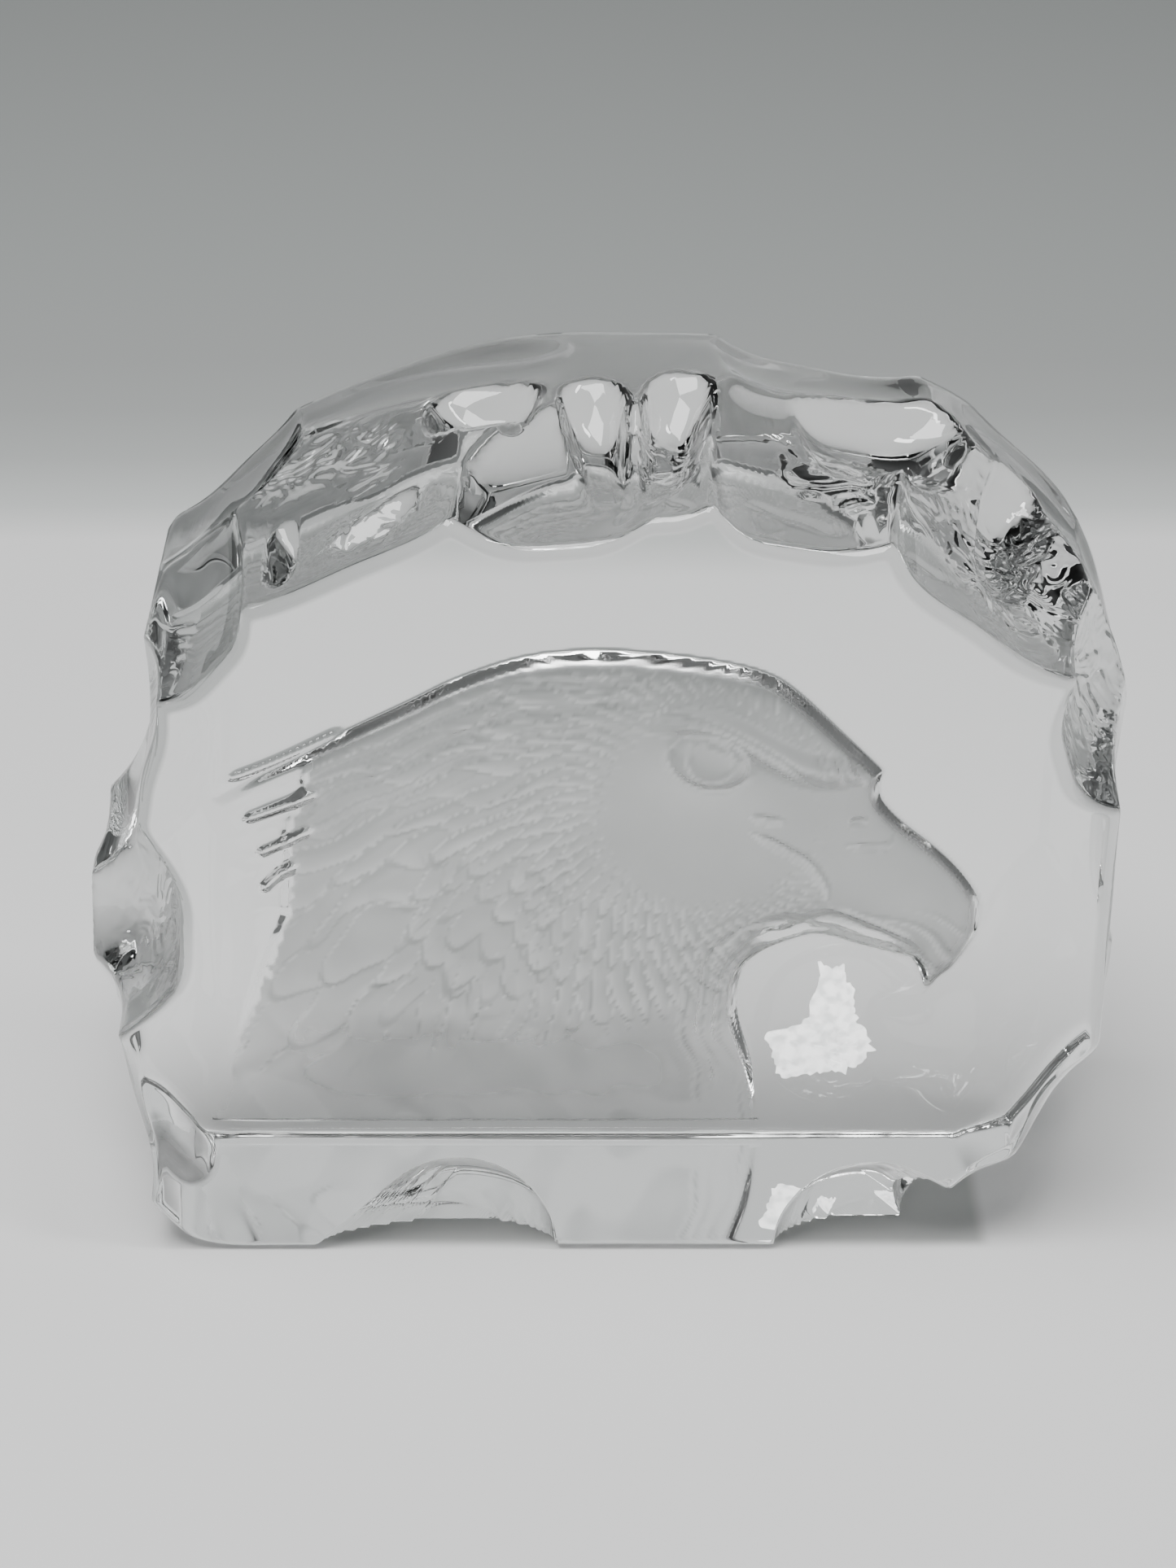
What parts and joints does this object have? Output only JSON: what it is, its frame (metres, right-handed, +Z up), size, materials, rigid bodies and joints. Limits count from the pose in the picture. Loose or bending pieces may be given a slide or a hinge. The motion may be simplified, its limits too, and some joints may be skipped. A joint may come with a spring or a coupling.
{
  "type": "crystal eagle head figurine",
  "caption": "Standing slab of clear crystal with a flaked, ice-like rim and an eagle's head cut into its back, seen through the flat front.",
  "frame": {"origin": "middle of the bounding box on the underside, so the figurine stands on the plane z = 0", "axes": "+Z up, the flat front towards -Y, +X the way the beak points"},
  "size_m": [0.1078, 0.036, 0.0868],
  "materials": {
    "crystal": "clear, fire polished, the carved head frosted"
  },
  "bodies": {
    "root": {"crystal_block": "crystal"}
  },
  "joints": []
}
